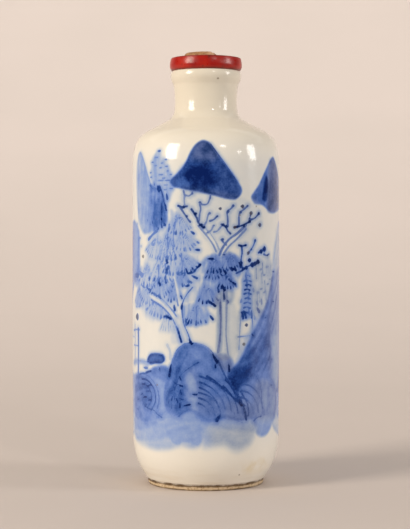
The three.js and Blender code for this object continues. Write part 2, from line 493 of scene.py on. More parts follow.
def ripples(p, across, up, radii, start, stop, ink, squash, width):
    """Rings of strokes round a boulder's brow, each from one bearing to another."""
    for k, radius in enumerate(radii):
        bearing = np.radians(np.linspace(start + 3 * k, stop - 4 * k, 6))
        ring = np.stack([across + radius * np.cos(bearing), up + squash * radius * np.sin(bearing)], 1)
        p.stroke(ring, width, ink, fade=0.2)


# ---- the front -----------------------------------------------------------------------------------


def main_peak(p):
    outline = [-65, 539, -52, 551, -41, 562, -33, 576, -27, 589, -19, 601, -7, 608.5, 4, 606, 12, 596,
        25, 579, 40, 560, 53, 543, 64, 527, 63, 516, 52, 507, 34, 508, 12, 514, -6, 518, -22, 522,
        -44, 526, -58, 529]
    p.fill(outline, 71, 2.4, 5, hair=(-62, 5, 10))
    lee = [12, 592, 30, 568, 52, 539, 59, 522, 49, 512, 29, 516, 2, 524, -26, 530, -42, 535, -33, 559,
        -10, 574, 6, 579]
    p.fill(lee, 79, 6, hair=(-58, 4, 8))
    p.fill([-50, 540, -42, 556, -28, 566, -6, 570, 12, 558, 17, 538, 8, 524, -14, 523, -34, 528], 100, 12.5)
    p.fill([-8, 595, 0, 603, 9, 597, 7, 587, -3, 587], 86, 5)
    p.fill([-58, 536, -40, 546, -32, 538, -26, 527, -40, 528, -54, 530], 76, 4)
    p.stroke([8, 601, 21, 584, 38, 561, 54, 539], 3, 86)
    p.stroke([22, 576, 27, 562, 37, 534, 50, 512], 3, 80, fade=0.1)
    p.ashen([-26, 580, -16, 606, 6, 608, 24, 586, 14, 572, -12, 572], 45, 9)
    p.ashen([16, 586, 40, 560, 64, 526, 50, 508, 14, 516, 20, 550], 12, 8)


def right_peak(p):
    outline = [84, 511, 90, 520, 101, 532, 111, 546, 122, 561, 135, 576, 148, 583, 158, 576, 176, 557,
        196, 536, 212, 518, 210, 502, 186, 492, 162, 486, 140, 484, 124, 491, 110, 498, 92, 500]
    p.fill(outline, 60, 2.5, 3, hair=(-50, 5, 12))
    p.fill([96, 506, 106, 533, 119, 554, 127, 552, 128, 525, 122, 504], 68, 3.5)
    p.fill([112, 507, 114, 524, 119, 542, 124, 548, 129, 534, 126, 508], 98, 3.5)
    p.fill([88, 510, 91, 517, 97, 515, 96, 506], 76, 2.5)
    p.fill([126, 492, 130, 530, 144, 555, 174, 534, 170, 497, 142, 488], 76, 6)
    p.stroke([138, 574, 149, 567, 166, 552], 5, 68, fade=0.3)
    p.ashen([126, 490, 128, 550, 142, 580, 170, 564, 204, 524, 180, 492, 140, 484], 55, 6)


def left_mountain(p):
    tall = [-152, 586, -143, 591, -133, 582, -123, 566, -116, 549, -109, 534, -100, 505, -94, 476,
        -98, 456, -114, 448, -130, 450, -146, 468, -156, 510, -159, 555]
    p.fill(tall, 33, 3.5, hair=(90, 4.5, 28))
    p.fill([-128, 546, -116, 536, -104, 500, -100, 464, -118, 454, -134, 466, -132, 506], 37, 7,
        hair=(90, 4, 30))
    p.stroke([-143, 589, -134, 581, -124, 565, -117, 549, -109, 532], 5, 40)
    for across, low, high, ink in ((-146, 475, 550, 38), (-137, 470, 570, 40), (-129, 460, 555, 42),
            (-122, 455, 545, 44), (-116, 454, 520, 46), (-110, 456, 510, 48)):
        p.stroke([across, high, across + 1.5, (low + high) / 2, across, low], 2.2, ink, fade=0.15)
    near = [-109, 533, -96, 529, -85, 530, -78, 516, -72, 496, -69, 476, -71, 460, -84, 451, -100, 451,
        -108, 476, -109, 505]
    p.fill(near, 50, 2.8, hair=(88, 3.5, 25))
    p.fill([-98, 498, -86, 506, -75, 490, -71, 472, -77, 457, -94, 457, -102, 472], 66, 5, hair=(86, 3, 30))
    for across, low, high, ink in ((-104, 466, 504, 62), (-98, 460, 512, 66), (-92, 462, 496, 72),
            (-87, 466, 508, 76), (-82, 462, 500, 88), (-77, 462, 492, 82)):
        p.stroke([across - 1, high, across, low], 2.6, ink)
    p.stroke([-109, 532, -103, 526, -93, 525, -86, 529], 3, 70)
    p.stroke([-87, 530, -81, 518, -77, 504, -72, 488], 3.6, 86)
    p.dab(-88, 522, -70, 9, 5, 85)
    for across, up, ink in ((-74, 462, 80), (-81, 459, 85), (-89, 456, 75), (-94, 461, 70),
            (-103, 466, 75), (-94, 472, 65), (-82, 472, 95), (-99, 532, 65), (-109, 464, 60),
            (-116, 469, 55), (-73, 494, 85)):
        p.dab(across, up, -80, 5, 3, ink)
    p.stroke([-93, 453, -103, 446, -113, 438], 5, 60)
    p.tint([-96, 464, -68, 464, -64, 490, -56, 480, -66, 448, -90, 444], 30, 5)


def distant_pines(p):
    p.fill([-103, 580, -92, 590, -82, 584, -70, 568, -60, 548, -56, 530, -64, 510, -72, 494, -84, 516,
        -104, 534, -109, 556], 26, 5, hair=(90, 3.5, 40))
    for across, high, low in ((-101, 578, 536), (-95, 584, 534), (-89, 582, 534), (-82, 570, 532)):
        p.stroke([across, high, across + 1, low], 2.2, 38)
    p.dab(-87, 591, 0, 5, 3.4, 68)
    for across, up, length in ((-101, 572, 5), (-92, 580, 6), (-94, 566, 5), (-80, 570, 4), (-83, 562, 4),
            (-72, 576, 4), (-70, 564, 5), (-68, 556, 4), (-62, 550, 4), (-80, 550, 8), (-75, 544, 6),
            (-107, 554, 3), (-106, 546, 3)):
        p.dab(across, up, 0, length, 2.8, 56)
    for across, up, length, ink in ((-79, 540, 12, 44), (-65, 540, 10, 50), (-60, 526, 6, 50),
            (-70, 532, 8, 40), (-72, 524, 6, 45)):
        p.dab(across, up, 0, length, 2.8, ink + 10)
    p.dab(-70, 508, -80, 9, 4, 80)


def pine_foliage(p):
    """The sprays of the two pines, the far ones first, over a pale bed."""
    left_bed = [-50, 486, -30, 462, -14, 426, -9, 399, -26, 364, -43, 334, -64, 324, -90, 296, -126, 304,
        -146, 336, -132, 386, -119, 409, -106, 434, -86, 458, -69, 468]
    p.fill(left_bed, 18, 7, hair=(92, 4, 40))
    p.fill([-4, 404, 18, 414, 46, 414, 66, 396, 64, 380, 54, 364, 48, 332, 22, 324, -4, 326, -18, 334,
        -12, 362, -6, 384], 36, 5, hair=(92, 3, 50))
    p.fill([-39, 323, -16, 330, 4, 320, 4, 296, -16, 289, -38, 292], 30, 4, hair=(92, 3.5, 40))
    # across and up of the tip, aim, reach, spread, ink, ink of the drops
    sprays = ((-50, 488, -84, 40, 36, 24, 66), (-90, 450, -96, 46, 42, 18, 40),
        (-69, 456, -88, 54, 26, 26, 66), (-42, 454, -76, 36, 42, 22, 60),
        (-114, 402, -102, 48, 34, 17, 56), (-86, 410, -94, 48, 34, 17, 72),
        (-60, 424, -86, 48, 30, 18, 60), (-42, 416, -68, 37, 36, 28, 90), (-48, 390, -74, 34, 28, 32, 70),
        (-86, 378, -90, 40, 42, 26, 72), (-59, 374, -84, 42, 22, 34, 74),
        (-112, 362, -106, 38, 40, 22, 58), (-144, 360, -96, 39, 26, 30, 48),
        (-87, 344, -100, 42, 44, 22, 54), (-70, 320, -84, 42, 30, 12, 0), (-17, 333, -92, 40, 27, 32, 84),
        (-1, 366, -84, 37, 27, 38, 98), (12, 396, -86, 26, 36, 50, 96), (34, 388, -84, 36, 30, 46, 96),
        (12, 412, -86, 31, 36, 46, 100), (40, 416, -74, 31, 42, 48, 100))
    for seed, spray in enumerate(sprays):
        needles(p, *spray, seed)
    p.ashen([-4, 414, 20, 420, 52, 414, 68, 390, 56, 360, 44, 330, 16, 328, -6, 340], 8, 6)
    # across, up, direction, length, ink
    accents = ((-70, 398, -80, 5, 90), (-71, 380, -96, 11, 80), (-85, 359, -60, 6, 92),
        (-74, 370, -90, 5, 70), (-12, 420, -6, 7, 84), (-9.5, 395, 46, 9, 96), (-18, 386, 50, 7, 80),
        (-67, 388, -90, 5, 72), (-25, 381, 14, 8, 88), (-15, 371.5, -25, 10, 80), (-45, 341, 10, 6, 80),
        (-30, 359, 20, 5, 86), (-55, 316, -80, 9, 80), (-63, 301, -30, 10, 92), (12, 405, 0, 9, 96),
        (-70, 304, -10, 7, 80), (21, 413, -86, 6, 98), (32, 412, 0, 6, 90), (53, 385, -30, 9, 100),
        (62, 390, -80, 9, 92), (32, 351, -70, 9, 100), (32, 336, -84, 12, 86), (39, 330, -60, 6, 70),
        (52, 361, -30, 10, 95), (16, 324, -40, 9, 100), (-34, 291, -80, 11, 66), (12, 301, -52, 9, 85),
        (22, 348, -80, 7, 85), (-21, 448, -40, 6, 80), (-56, 462, -30, 4, 45), (44, 366, -40, 7, 85),
        (10, 328, -40, 8, 96), (-126, 354, -20, 8, 60), (-110, 350, -20, 8, 70), (-96, 342, -30, 7, 66),
        (-84, 336, -40, 8, 72), (35, 380, -50, 8, 98), (26, 383, -60, 8, 90), (46, 385, -50, 7, 92),
        (-28, 365, -30, 5, 70))
    p.dabs(3.6, accents)
    for points in ([-66, 464, -69, 444, -68, 422], [-54, 468, -58, 448, -57, 426],
            [-43, 414, -42, 394, -40, 372], [-74, 396, -73, 380, -72, 364], [-89, 394, -88, 376, -87, 362]):
        p.stroke(points, 3, 56)


def trunks(p):
    p.spare([-35, 260, -45, 286, -61, 310, -83, 331, -108, 341, -106, 336, -80, 324, -58, 302, -41, 282,
        -29, 260], 2.5)
    p.spare([-49, 296, -49, 328, -53, 350, -58, 372, -55, 372, -48, 350, -44, 322, -42, 296], 2.5)
    p.spare([27, 246, 29, 300, 28, 326, 34, 326, 34, 280, 36, 240], 2.5)
    p.spare([-26, 346, -13, 368, -2, 392, 2, 396, -5, 372, -19, 348], 3)
    p.stroke([-106, 333, -82, 322, -66, 309, -56, 295, -50, 280, -45, 266], 3, 62)
    p.stroke([-106, 345, -84, 337, -66, 322, -52, 306], 2.8, 56)
    p.dab(-43, 262, -72, 16, 3.4, 92)
    p.dab(-47, 276, -72, 12, 3, 80)
    p.stroke([-42, 320, -39, 294, -32, 278, -26, 262], 2.8, 66)
    p.dab(-24.5, 258.5, -60, 8, 4, 100)
    p.stroke([-43, 319, -40, 331, -33, 344, -23, 356], 2.6, 66)
    p.stroke([-49, 324, -53, 344, -58, 370], 2.4, 60)
    p.dab(-42.5, 320, -100, 7, 3.6, 90)
    p.stroke([24, 334, 25, 310, 25, 285, 23, 260, 21, 244], 4.6, 56)
    p.stroke([25, 330, 26, 290, 24.5, 260], 2, 70)
    p.stroke([36, 330, 35.5, 300, 35, 275, 37.5, 250, 40, 226], 3.6, 48)
    p.tint([20, 334, 32, 340, 46, 336, 56, 320, 64, 280, 60, 244, 44, 226, 20, 236], 16, 8)
    p.tint([19, 334, 28, 338, 31, 290, 28, 244, 18, 242], 30, 5)
    p.tint([-56, 306, -46, 310, -36, 286, -24, 262, -60, 256, -64, 280], 17, 6)
    p.tint([-44, 390, -16, 396, 4, 386, 2, 356, -14, 334, -34, 326, -40, 344, -32, 364], 22, 7,
        hair=(92, 4, 30))
    p.ashen([16, 340, 52, 346, 62, 300, 54, 240, 18, 236], 60, 6)


def forked_branches(p):
    p.tint([-50, 506, -30, 524, 30, 516, 64, 514, 106, 494, 116, 466, 96, 436, 132, 424, 128, 396, 84, 382,
        58, 406, 56, 436, 0, 434, -16, 464], 13, 8)
    p.spare([-10, 460, 6, 446, 19, 429, 23, 414, 17, 415, 6, 434, -9, 453], 3)
    p.stroke([-13, 462, 1, 445, 11, 431, 18, 417], 3.2, 52)
    p.stroke([-3, 460, 7, 449, 17, 434, 23, 420], 2.8, 42)
    p.spare([69, 462, 50, 446, 32, 429, 23, 413, 28, 410, 39, 428, 56, 443, 72, 458], 4)
    p.stroke([72, 462, 56, 449, 40, 438, 29, 424, 23, 411], 4.2, 62)
    p.stroke([73, 456, 55, 439, 40, 426, 30, 412], 3.6, 54)
    # the twig, its ink, its buds as (across, up, size)
    twigs = (
        ([-49, 496, -41, 494, -33, 495], 62, ((-40, 493.5, 5),)),
        ([-45, 493, -38, 483, -32, 474, -27, 468], 52, ((-34, 478, 4.2),)),
        ([-39, 522, -37, 515, -30, 513, -25, 516, -23, 522], 38, ((-24, 517, 4),)),
        ([-37, 514, -38, 505, -37, 498], 30, ()),
        ([-25, 490, -21, 484, -16, 475, -13, 467, -5, 459], 66,
            ((-19, 482, 5.5), (-9, 463, 5.5), (-5, 459, 5))),
        ([-12, 469, -11, 481, -9, 490, -11, 501], 42, ((-10, 502, 3.4),)),
        ([-11, 502, -6, 498, 2, 499, 6, 506, 8, 515], 42, ((7, 509, 3.4),)),
        ([-4, 461, 1, 469, 3, 478, 6, 484], 34, ((6, 483, 4.2),)),
        ([7, 470, 13, 472, 19, 478], 48, ((19, 478, 4),)),
        ([3, 450, 9, 454, 13, 462], 32, ((13.5, 462, 3.2), (3, 450, 3.2))),
        ([14, 451, 20, 453, 26, 460], 32, ()),
        ([27, 464, 34, 460, 38, 453, 43, 448], 60, ((29, 463.5, 5), (34, 460, 5))),
        ([27, 438, 31, 432, 35, 429], 45, ((28, 438, 5),)),
        ([38, 460, 38, 474, 37, 486, 44, 491, 48, 497], 46, ((38, 486, 5), (48, 496, 4.2))),
        ([59, 464, 59, 477, 61, 485, 69, 490, 76, 496], 46, ((61, 485, 5.5), (76, 496, 4))),
        ([50, 459, 61, 461, 72, 465, 82, 469], 70, ((55, 460, 5), (67, 462, 5), (80, 469, 5))),
        ([79, 469, 81, 475, 83, 482], 50, ((80, 474, 4.5),)),
        ([82, 472, 92, 475, 101, 482], 58, ((101, 483, 5.5),)),
        ([64, 427, 65, 415, 63, 403, 65, 390], 58, ((62, 397, 6), (66, 387, 6))),
        ([59, 428, 66, 427, 73, 428], 70, ((62, 427, 4), (71, 428, 4))),
        ([77, 413, 83, 420, 89, 428, 93, 437], 46, ((84, 421, 4), (92, 436, 5))),
        ([101, 415, 109, 418, 115, 419, 116, 425], 60, ((106, 417, 8), (115, 421, 9))),
        ([115, 412, 123, 410, 131, 412], 50, ((125, 410, 4),)),
        ([54, 380, 66, 385, 78, 392, 89, 394, 103, 398], 60,
            ((85, 394, 8.5), (91, 396, 7.5), (98, 399, 8), (79, 402, 7), (72, 389, 7))),
    )
    for points, ink, buds in twigs:
        twig(p, points, ink, buds)
    p.ashen([-46, 526, 60, 516, 110, 494, 110, 460, 84, 438, 26, 410, -16, 456, -46, 480], 35, 8)
    p.dab(105, 463, 0, 3, 5.5, 60)


def pagoda(p):
    """A slender tower of blurred storeys behind the trees, on its terrace."""
    p.fill([65, 374, 75, 388, 86, 374, 89, 336, 89, 306, 74, 300, 60, 302, 64, 336], 36, 5,
        hair=(90, 4, 30))
    for up, left, right, ink in ((375, 72, 81, 60), (366, 69, 84, 68), (359, 72, 83, 84),
            (351, 70, 81, 88), (344, 69, 84, 76), (336, 71, 82, 70), (328, 69, 83, 68), (320, 68, 82, 70),
            (312, 64, 76, 86)):
        p.stroke([left, up, (left + right) / 2, up + 1.2, right, up - 1], 3.4, ink)
    p.dabs(4, ((75, 356, -86, 16, 66), (78, 334, -94, 15, 56), (73, 370, -88, 12, 56),
        (67, 302, -80, 12, 88), (73, 303, -70, 13, 86), (80, 308, -80, 10, 60), (85, 303, -88, 12, 66),
        (89, 348, -80, 6, 50), (63, 330, -100, 6, 50)))
    p.stroke([62, 304, 60, 270, 59, 248], 3, 42)
    p.stroke([86, 304, 87, 286, 87, 271], 2.8, 56)
    p.stroke([57, 270, 72, 271, 87, 271], 2.6, 56)
    p.dab(89, 271, -40, 5, 3.6, 88)


def cliff(p):
    p.tint([50, 220, 56, 240, 70, 266, 86, 294, 102, 316, 120, 334, 132, 360, 140, 384, 156, 370, 120, 290,
        80, 226], 30, 10, hair=(56, 5, 20))
    face = [44, 206, 57, 224, 67, 241, 81, 266, 96, 290, 112, 312, 127, 336, 137, 360, 144, 384, 152, 412,
        166, 444, 186, 470, 212, 450, 236, 380, 248, 296, 240, 210, 200, 170, 140, 166, 90, 164, 56, 170]
    p.fill(face, 60, 3.5, 3, hair=(56, 5, 20))
    p.fill([132, 340, 144, 364, 164, 404, 206, 410, 216, 330, 196, 240, 156, 226, 136, 265], 50, 10,
        hair=(60, 5, 25))
    p.fill([138, 376, 146, 406, 156, 436, 176, 466, 206, 446, 208, 406, 170, 384], 28, 8, hair=(60, 5, 30))
    p.fill([146, 270, 170, 274, 186, 230, 174, 176, 154, 172, 142, 204], 38, 14)
    p.fill([80, 208, 84, 240, 100, 268, 126, 274, 138, 250, 136, 220, 124, 206, 100, 204], 68, 5,
        hair=(56, 4, 16))
    p.fill([72, 204, 104, 206, 134, 206, 144, 186, 130, 168, 72, 168], 58, 8)
    p.fill([35, 209, 46, 219, 62, 226, 80, 246, 93, 250, 92, 222, 86, 196, 78, 176, 64, 166, 49, 172,
        38, 190], 78, 6, hair=(30, 4, 12))
    p.fill([41, 206, 56, 216, 72, 218, 78, 196, 72, 174, 54, 172, 43, 192], 90, 6)
    for k, ink in enumerate((66, 60, 64, 56, 60, 50, 52)):
        left, low = 80 + 10 * k, 206 + 11 * k
        p.stroke([left, low, left + 20, low + 34, left + 42, low + 80], 2.8, ink + 12, fade=0.2)
    p.stroke([88, 206, 98, 197, 105, 187, 109, 172, 110, 160], 4, 72, fade=0.15)
    for across, up, ink in ((151, 381, 85), (150, 328, 78), (122, 301, 78), (162, 273, 50), (143, 181, 75),
            (139, 368, 45)):
        p.dab(across, up, 0, 8, 2.8, ink)
    p.dab(94, 230, -84, 9, 5, 75)
    p.stroke([123, 225, 131, 228, 143, 226], 4, 66)
    p.ashen([124, 280, 146, 370, 160, 440, 200, 440, 220, 300, 180, 170, 138, 186], 30, 12)


def faded_trees(p):
    """A thin grove on the far bank, right of the pagoda."""
    p.fill([88, 386, 106, 406, 130, 410, 144, 386, 140, 350, 122, 320, 106, 304, 88, 314], 20, 7,
        hair=(90, 3.5, 45))
    draw = np.random.default_rng(5)
    for k in range(11):
        across = 94 + 4.4 * k + draw.uniform(-2, 2)
        up = max(366 + draw.uniform(-34, 20), 276 + 0.75 * (across - 50))
        p.stroke([across, up + 12, across + 1, up - 6], 2.8, draw.uniform(40, 54))
    for across, up in ((118, 376), (126, 390), (109, 386), (110, 352), (129, 360), (119, 346), (101, 346)):
        p.dab(across, up, 10, 6, 3.4, 48)
    p.dab(103, 312, -50, 9, 5, 66)
    p.dab(99, 324, -60, 8, 4, 50)
    p.dab(109, 326, -80, 9, 4, 50)
    p.dab(92, 300, -80, 7, 4, 45)
    p.ashen([88, 386, 106, 406, 144, 410, 140, 350, 106, 304, 88, 314], 50, 7)


def middle_rock(p):
    p.tint([8, 240, 24, 244, 42, 238, 52, 220, 50, 196, 30, 196, 12, 222], 50, 6)
    p.ashen([6, 250, 24, 252, 46, 244, 46, 216, 26, 216], 35, 5)
    outline = [-67, 205, -63, 222, -56, 239, -49, 250, -38, 258, -22, 260, -8, 258, 3, 252, 12, 242,
        22, 228, 32, 209, 44, 188, 56, 169, 70, 146, 76, 129, 60, 124, 36, 131, 19, 126, 0, 126, -16, 138,
        -30, 143, -46, 134, -60, 138, -74, 156, -76, 182]
    p.tint([-76, 210, -50, 220, 20, 234, 46, 216, 86, 194, 88, 150, 76, 124, -76, 126], 42, 8)
    p.fill(outline, 57, 3, 3, hair=(-55, 5, 12))
    p.fill([-59, 214, -50, 242, -34, 254, -26, 232, -42, 206, -40, 152, -66, 142, -74, 176], 65, 7,
        hair=(65, 4, 15))
    p.fill([-34, 202, -26, 210, -17, 196, -13, 166, -15, 144, -26, 148, -31, 174], 42, 6)
    p.fill([16, 164, 40, 166, 56, 152, 58, 136, 36, 134, 18, 138], 52, 8)
    p.stroke([-65, 206, -62, 222, -56, 239, -49, 250, -38, 258], 2.6, 64)
    p.stroke([-38, 258.5, -22, 260, -8, 258, 3, 252, 13, 242], 2.6, 64)
    p.stroke([21, 230, 29, 212, 38, 195, 49, 176, 57, 160, 64, 151], 4.2, 78)
    p.dab(19.5, 227, -60, 16, 4.4, 100)
    p.dab(16.5, 218, -84, 7, 3.6, 95)
    p.dab(41, 211, -86, 13, 3.6, 98)
    p.stroke([-13, 227, -23, 221, -36, 212, -47, 201, -56, 189], 3.4, 82, fade=0.15)
    p.stroke([-36, 254, -46, 238, -52, 220], 2.4, 74, fade=0.3)
    ripples(p, -32, 138, (56, 66, 77), 68, 12, 84, 0.88, 3.8)
    ripples(p, -20, 134, (26, 36, 46), 74, 4, 82, 0.9, 3.6)
    ripples(p, -34, 130, (92, 104), 46, 6, 88, 0.84, 3.8)
    p.stroke([-73, 168, -72, 153, -66, 141, -56, 134, -46, 132], 2.6, 62)
    p.stroke([-48, 134, -39, 141, -29, 143.5, -20, 141, -12, 134, -4, 129, 6, 127], 3, 72, fade=0.3)
    p.stroke([16, 126, 26, 133, 36, 132, 52, 126, 66, 122], 2.8, 60)
    p.dab(19, 127, -120, 9, 5.6, 92)
    p.dabs(3.4, ((-44, 196, -70, 7, 88), (-41, 185, -20, 8, 95), (-43, 172, -70, 8, 90),
        (-40, 162, -20, 8, 85), (-46, 148, -90, 10, 92), (-28, 154, 14, 12, 97), (-16, 171.5, 0, 8, 92),
        (65, 151, -50, 8, 100), (73, 127, -76, 8, 85), (51, 136, -70, 6, 62), (-53, 207, -110, 9, 80),
        (-57, 178, -110, 9, 80), (-52, 188, -40, 7, 85), (-50, 158, -60, 8, 85), (-62, 160, -110, 9, 80)))
    p.dab(-66, 202, -100, 19, 4.6, 96)
    p.stroke([-63, 232, -65, 246, -70, 256], 5, 24)
    for across, low, high in ((-56, 150, 194), (-63, 146, 186), (-51, 146, 176), (-69, 154, 180)):
        p.stroke([across + 5, high, across, (low + high) / 2, across + 1, low], 2.8, 78)
    p.stroke([2, 203, 17, 193, 33, 179, 49, 165, 65, 151], 4.4, 86)
    p.stroke([36, 198, 49, 178, 62, 159, 71, 142, 74, 126], 4.4, 86)
    p.ashen([-34, 204, -20, 212, 4, 170, 40, 166, 50, 134, -10, 138, -32, 156], 15, 9)
    p.ashen([36, 160, 70, 156, 100, 154, 96, 128, 56, 122, 34, 126], 30, 10)


def left_rock(p):
    outline = [-176, 196, -150, 202, -130, 204, -114, 208, -96, 215, -74, 220, -62, 204, -64, 170,
        -66, 144, -82, 128, -100, 120, -126, 116, -154, 118, -174, 136, -178, 174]
    p.fill(outline, 47, 4.5, 2, hair=(14, 5, 14))
    p.fill([-104, 214, -80, 218, -64, 210, -64, 190, -84, 194, -102, 200], 56, 4)
    p.fill([-94, 192, -82, 190, -74, 174, -76, 146, -90, 144, -96, 170], 40, 7)
    p.fill([-158, 196, -124, 194, -103, 182, -102, 156, -118, 142, -146, 142, -162, 166], 62, 7,
        hair=(10, 4, 15))
    p.fill([-168, 154, -130, 150, -106, 142, -108, 124, -140, 118, -170, 126], 54, 6)
    ripples(p, -129, 163, (33, 23), 100, -50, 86, 0.92, 3.8)
    p.stroke([-156, 194, -134, 202, -112, 198, -94, 182, -88, 162, -92, 144], 3.6, 64)
    p.dabs(3.4, ((-108, 184, 16, 12, 88), (-111, 173, 4, 12, 80), (-132, 167, 20, 9, 80),
        (-121, 162, 8, 11, 95), (-107, 158, 8, 10, 88), (-148, 138, 0, 11, 66), (-121, 118, 0, 5, 50),
        (-108, 208, 12, 15, 85), (-86, 210, -88, 6, 75), (-138, 178, 20, 10, 76), (-124, 186, 20, 10, 76),
        (-146, 156, 10, 9, 74), (-120, 149, 4, 9, 78)))
    p.stroke([-126, 146, -113, 142, -102, 141, -93, 135, -82, 129], 3.4, 78, fade=0.1)
    p.stroke([-144, 200, -132, 203, -120, 204, -108, 208], 3, 72)
    p.stroke([-110, 208, -94, 210, -78, 215, -69, 214], 3.6, 60)
    p.stroke([-164, 176, -166, 158, -158, 142, -142, 130], 3.4, 70, fade=0.2)


def right_rock(p):
    p.fill([70, 188, 102, 196, 130, 190, 152, 184, 164, 170, 167, 148, 159, 128, 144, 114, 128, 124,
        108, 126, 92, 122, 74, 126, 62, 146, 54, 170], 50, 6, hair=(80, 6, 16))
    p.fill([114, 174, 126, 176, 132, 158, 128, 140, 114, 140, 108, 158], 42, 9)
    p.stroke([148, 183, 157, 172, 161, 156, 160, 140, 153, 127], 6, 58)
    p.stroke([130, 174, 131, 154, 129, 136], 4, 48)
    ripples(p, 56, 132, (24, 34, 46, 58), 74, 14, 76, 1.0, 4)
    p.stroke([62, 176, 70, 164, 76, 154, 79, 142, 78, 132], 3.6, 78)
    p.stroke([91, 123, 99, 128, 109, 129], 3.4, 70)
    p.ashen([94, 186, 130, 190, 166, 170, 160, 124, 94, 126], 35, 9)


def boat_and_bank(p):
    p.fill([-118, 225, -113, 235, -104, 239.5, -88, 240, -78, 238, -75, 230, -82, 223, -96, 222,
        -109, 220], 72, 1.6, 12)
    p.stroke([-116, 225, -108, 222, -96, 224, -83, 224], 3.2, 82, fade=0.25)
    p.stroke([-115, 229, -110, 236, -102, 239, -86, 239.5, -78, 235, -77, 229], 2.6, 75)
    p.fill([-174, 224, -140, 228, -114, 224, -116, 216, -140, 219, -174, 214], 30, 4)
    p.stroke([-174, 218, -156, 223, -134, 224, -114, 223], 3.6, 40)
    p.dab(-118, 213, 0, 10, 4, 60)
    p.stroke([-149, 280, -148, 250, -149, 220, -150, 188], 4.6, 66)
    p.stroke([-174, 276, -160, 278, -144, 279], 3.6, 50)
    p.stroke([-172, 250, -160, 250, -149, 250], 3, 45)
    p.stroke([-166, 286, -165, 250, -167, 216], 3, 45)
    p.tint([-166, 392, -146, 394, -130, 386, -126, 366, -144, 354, -168, 358], 34, 6)
    p.stroke([-166, 372, -154, 376, -146, 380, -134, 375], 8, 56)
    p.dab(-150, 374, 0, 12, 7, 70)
    p.dab(-130, 377, 0, 7, 4, 55)
    p.fill([-162, 336, -146, 338, -138, 330, -139, 319, -160, 318], 24, 3)
    p.stroke([-160, 319, -149, 319, -137, 321], 3.6, 42)
    for across, up, ink in ((-152, 465, 34), (-147, 451, 30), (-141, 440, 50), (-125, 453, 42),
            (-100, 429, 50), (-136, 426, 30)):
        p.dab(across, up, 0, 5, 4, ink)


def shallows(p):
    """Thin washes of water below the rocks, that fade out above the foot."""
    p.tint([-174, 139, -120, 142, -74, 146, -44, 144, -26, 150, -6, 142, 7, 120, 6, 100, -5, 85, -22, 78,
        -44, 81, -70, 74, -100, 72, -136, 76, -166, 83, -180, 104], 34, 9, hair=(8, 7, 30))
    p.tint([-80, 132, -36, 138, -12, 132, 0, 114, -4, 96, -20, 84, -56, 86, -78, 96], 40, 10,
        hair=(20, 6, 15))
    p.tint([-170, 136, -126, 138, -94, 130, -88, 114, -120, 102, -170, 98], 44, 9, hair=(4, 5, 20))
    p.tint([-16, 140, 30, 144, 60, 140, 92, 140, 102, 120, 90, 96, 60, 88, 20, 90, -14, 94], 36, 10,
        hair=(-10, 8, 25))
    p.tint([-6, 126, 92, 126, 96, 106, 84, 84, 56, 72, 30, 82, -6, 82], 34, 12, hair=(-10, 8, 25))
    p.tint([-64, 110, -44, 114, -38, 96, -46, 82, -64, 86], 40, 5)
    p.tint([-28, 116, -10, 116, -2, 98, -12, 82, -28, 86], 40, 5)
    p.tint([88, 144, 110, 144, 138, 142, 156, 130, 146, 113, 132, 99, 118, 93, 102, 95, 90, 109], 42, 5,
        hair=(60, 6, 14))
    p.ashen([10, 114, 60, 118, 94, 114, 92, 76, 56, 64, 10, 76], 60, 16)


# ---- the sides and the back ----------------------------------------------------------------------


def left_cliff(p):
    """A tall cliff that comes round the left side, its inner edge in sight from the front."""
    outline = [-143, 440, -152, 462, -174, 472, -198, 462, -224, 430, -246, 380, -260, 310, -256, 240,
        -230, 216, -214, 260, -194, 314, -172, 354, -154, 362, -142, 374]
    p.fill(outline, 46, 3.5, 3, hair=(84, 5, 20))
    for k in range(6):
        p.stroke([10 * k - 226, 426 + 5 * k, 10 * k - 236, 380, 10 * k - 242, 320 + 10 * k], 3, 56, fade=0.3)
    p.fill([-240, 360, -220, 360, -216, 300, -234, 240, -250, 260], 60, 7, hair=(80, 4, 20))


def back_peaks(p):
    left = [-374, 508, -360, 522, -346, 546, -330, 576, -316, 588, -302, 578, -286, 550, -268, 524,
        -254, 508, -276, 502, -310, 500, -346, 502]
    p.fill(left, 60, 2.2, 5, hair=(-60, 5, 12))
    p.fill([-314, 580, -294, 554, -274, 526, -266, 512, -304, 512, -316, 540], 84, 5)
    right = [314, 514, 326, 530, 342, 556, 356, 570, 370, 564, 386, 540, 406, 520, 420, 510, 386, 504,
        342, 506]
    p.fill(right, 48, 2.5, 4, hair=(-55, 5, 12))
    p.fill([358, 562, 374, 546, 394, 520, 360, 514, 352, 536], 74, 5)
    for k in range(5):
        p.dab(260 + 13 * k, 524 + 5 * (-1) ** k, 0, 9, 2.8, 40)


